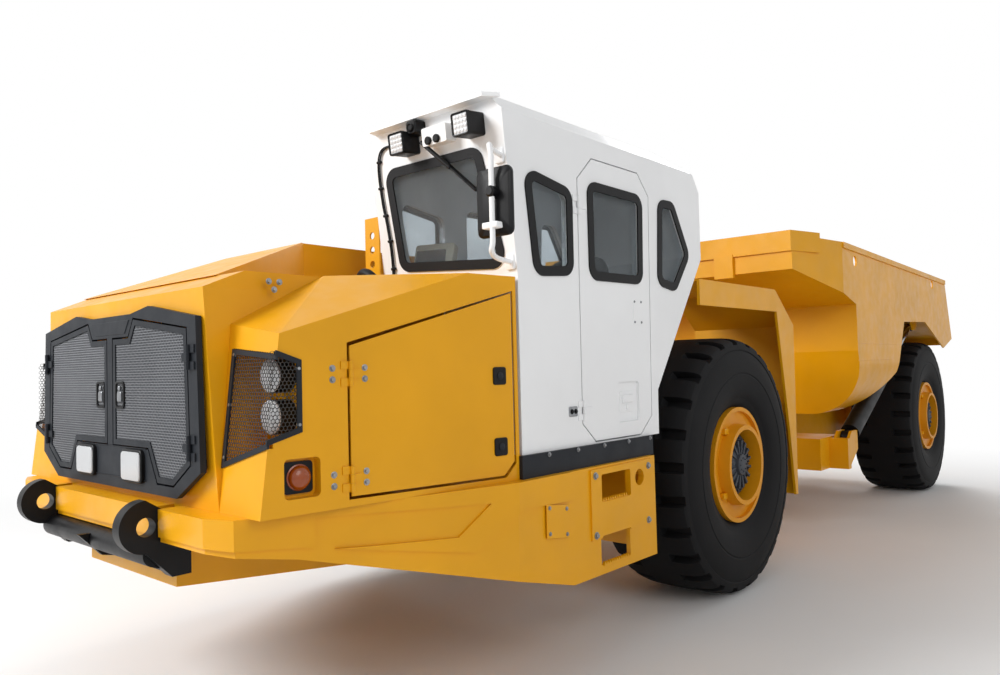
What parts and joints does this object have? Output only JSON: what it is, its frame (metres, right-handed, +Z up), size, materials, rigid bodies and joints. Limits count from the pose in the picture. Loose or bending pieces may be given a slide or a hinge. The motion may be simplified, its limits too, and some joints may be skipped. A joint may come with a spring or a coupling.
{
  "type": "articulated underground dump truck",
  "caption": "Low articulated mine dump truck with an offset enclosed cab, mesh grille, tipping open-ended box and hydraulic hoist and steering cylinders.",
  "frame": {"origin": "on the ground, under the middle of the truck's length and width", "axes": "+Z up, -Y the way the truck drives, +X its left side, where the cab is"},
  "size_m": [2.928, 9.9499, 2.9],
  "materials": {
    "yellow_paint": "semi-gloss",
    "white_paint": "semi-gloss",
    "black_paint": "satin",
    "dark_grey_paint": "satin",
    "tyre_rubber": "matte",
    "rubber": "matte",
    "glass": "clear",
    "amber_lens": "gloss",
    "lamp": "gloss",
    "seat_cover": "woven",
    "console_plastic": "matte",
    "chrome_rod": "polished"
  },
  "bodies": {
    "front": {"front_frame": "yellow_paint", "front_bumper": "yellow_paint", "tow_crossmember": "black_paint", "hood": "yellow_paint", "engine_cover": "yellow_paint", "fender_left": "yellow_paint", "fender_right": "yellow_paint", "grille_frame": "dark_grey_paint", "wheel_arches": "yellow_paint", "cab_shell": "white_paint", "cab_glass": "glass", "window_seals": "rubber", "driver_seat": "seat_cover", "cab_console": "console_plastic", "work_lamps": "lamp", "turn_signals": "amber_lens", "skirt_flap": "rubber", "engine_block": "dark_grey_paint", "front_axle": "yellow_paint", "fuel_tank": "yellow_paint", "mirror": "black_paint"},
    "cab_door": {"cab_door": "white_paint", "door_glass": "glass", "door_seal": "rubber"},
    "grille_door_left": {"grille_door_left": "dark_grey_paint"},
    "grille_door_right": {"grille_door_right": "dark_grey_paint"},
    "access_door_left": {"access_door_left": "yellow_paint"},
    "access_door_right": {"access_door_right": "yellow_paint"},
    "rear": {"rear_frame": "yellow_paint", "rear_axle": "yellow_paint"},
    "box": {"dump_box": "yellow_paint", "box_sides": "yellow_paint", "box_arches": "yellow_paint"},
    "wheel_front_left": {"rim_front_left": "yellow_paint", "tyre_front_left": "tyre_rubber"},
    "wheel_rear_left": {"rim_rear_left": "yellow_paint", "tyre_rear_left": "tyre_rubber"},
    "hoist_barrel_left": {"hoist_barrel_left": "black_paint"},
    "hoist_rod_left": {"hoist_rod_left": "chrome_rod"},
    "steer_barrel_left": {"steer_barrel_left": "black_paint"},
    "steer_rod_left": {"steer_rod_left": "chrome_rod"},
    "wheel_front_right": {"rim_front_right": "yellow_paint", "tyre_front_right": "tyre_rubber"},
    "wheel_rear_right": {"rim_rear_right": "yellow_paint", "tyre_rear_right": "tyre_rubber"},
    "hoist_barrel_right": {"hoist_barrel_right": "black_paint"},
    "hoist_rod_right": {"hoist_rod_right": "chrome_rod"},
    "steer_barrel_right": {"steer_barrel_right": "black_paint"},
    "steer_rod_right": {"steer_rod_right": "chrome_rod"}
  },
  "joints": [
    {"name": "articulation", "type": "hinge", "parent": "front", "child": "rear", "pos_m": [0, 0.7875, 0.77], "axis": [0, 0, 1], "range_deg": [-42, 42]},
    {"name": "tip", "type": "hinge", "parent": "rear", "child": "box", "pos_m": [0, 4.6375, 1.25], "axis": [-1, 0, 0], "range_deg": [0, 65]},
    {"name": "cab_door", "type": "hinge", "parent": "front", "child": "cab_door", "pos_m": [1.312, -2.9125, 1.9], "axis": [0, 0, -1], "range_deg": [0, 90]},
    {"name": "grille_door_left", "type": "hinge", "parent": "front", "child": "grille_door_left", "pos_m": [0.745, -4.769, 1.5], "axis": [0, 0, 1], "range_deg": [0, 110]},
    {"name": "access_door_left", "type": "hinge", "parent": "front", "child": "access_door_left", "pos_m": [1.2075, -4.3369, 1.5], "axis": [0, 0, -1], "range_deg": [0, 100]},
    {"name": "wheel_front_left", "type": "hinge", "parent": "front", "child": "wheel_front_left", "pos_m": [1.03, -1.1125, 0.875], "axis": [1, 0, 0], "continuous": true},
    {"name": "wheel_rear_left", "type": "hinge", "parent": "rear", "child": "wheel_rear_left", "pos_m": [1.03, 4.0875, 0.875], "axis": [1, 0, 0], "continuous": true},
    {"name": "hoist_barrel_left", "type": "hinge", "parent": "rear", "child": "hoist_barrel_left", "pos_m": [1.22, 1.4915, 0.826], "axis": [-1, 0, 0], "range_deg": [0, 2.87]},
    {"name": "hoist_rod_left", "type": "slide", "parent": "hoist_barrel_left", "child": "hoist_rod_left", "axis": [0, 0.9021, 0.4316], "range_m": [0, 1.1298]},
    {"name": "steer_barrel_left", "type": "hinge", "parent": "front", "child": "steer_barrel_left", "pos_m": [0.225, -0.1125, 0.718], "axis": [0, 0, 1], "range_deg": [-13.77, 13.77]},
    {"name": "steer_rod_left", "type": "slide", "parent": "steer_barrel_left", "child": "steer_rod_left", "axis": [0.0712, 0.9975, 0], "range_m": [-0.2057, 0.2057]},
    {"name": "grille_door_right", "type": "hinge", "parent": "front", "child": "grille_door_right", "pos_m": [-0.745, -4.769, 1.5], "axis": [0, 0, -1], "range_deg": [0, 110]},
    {"name": "access_door_right", "type": "hinge", "parent": "front", "child": "access_door_right", "pos_m": [-1.2075, -4.3369, 1.5], "axis": [0, 0, 1], "range_deg": [0, 100]},
    {"name": "wheel_front_right", "type": "hinge", "parent": "front", "child": "wheel_front_right", "pos_m": [-1.03, -1.1125, 0.875], "axis": [1, 0, 0], "continuous": true},
    {"name": "wheel_rear_right", "type": "hinge", "parent": "rear", "child": "wheel_rear_right", "pos_m": [-1.03, 4.0875, 0.875], "axis": [1, 0, 0], "continuous": true},
    {"name": "hoist_barrel_right", "type": "hinge", "parent": "rear", "child": "hoist_barrel_right", "pos_m": [-1.22, 1.4915, 0.826], "axis": [-1, 0, 0], "range_deg": [0, 2.87]},
    {"name": "hoist_rod_right", "type": "slide", "parent": "hoist_barrel_right", "child": "hoist_rod_right", "axis": [0, 0.9021, 0.4316], "range_m": [0, 1.1298]},
    {"name": "steer_barrel_right", "type": "hinge", "parent": "front", "child": "steer_barrel_right", "pos_m": [-0.225, -0.1125, 0.718], "axis": [0, 0, 1], "range_deg": [-13.77, 13.77]},
    {"name": "steer_rod_right", "type": "slide", "parent": "steer_barrel_right", "child": "steer_rod_right", "axis": [-0.0712, 0.9975, 0], "range_m": [-0.2057, 0.2057]}
  ],
  "couplings": [
    {"joint": "hoist_barrel_left", "follows": "tip", "ratio": 0.043807},
    {"joint": "hoist_rod_left", "follows": "tip", "m_per_rad": 0.99546},
    {"joint": "steer_barrel_left", "follows": "articulation", "ratio": 0.32735},
    {"joint": "steer_rod_left", "follows": "articulation", "m_per_rad": 0.27994},
    {"joint": "hoist_barrel_right", "follows": "tip", "ratio": 0.043807},
    {"joint": "hoist_rod_right", "follows": "tip", "m_per_rad": 0.99546},
    {"joint": "steer_barrel_right", "follows": "articulation", "ratio": 0.32735},
    {"joint": "steer_rod_right", "follows": "articulation", "m_per_rad": -0.27994}
  ]
}
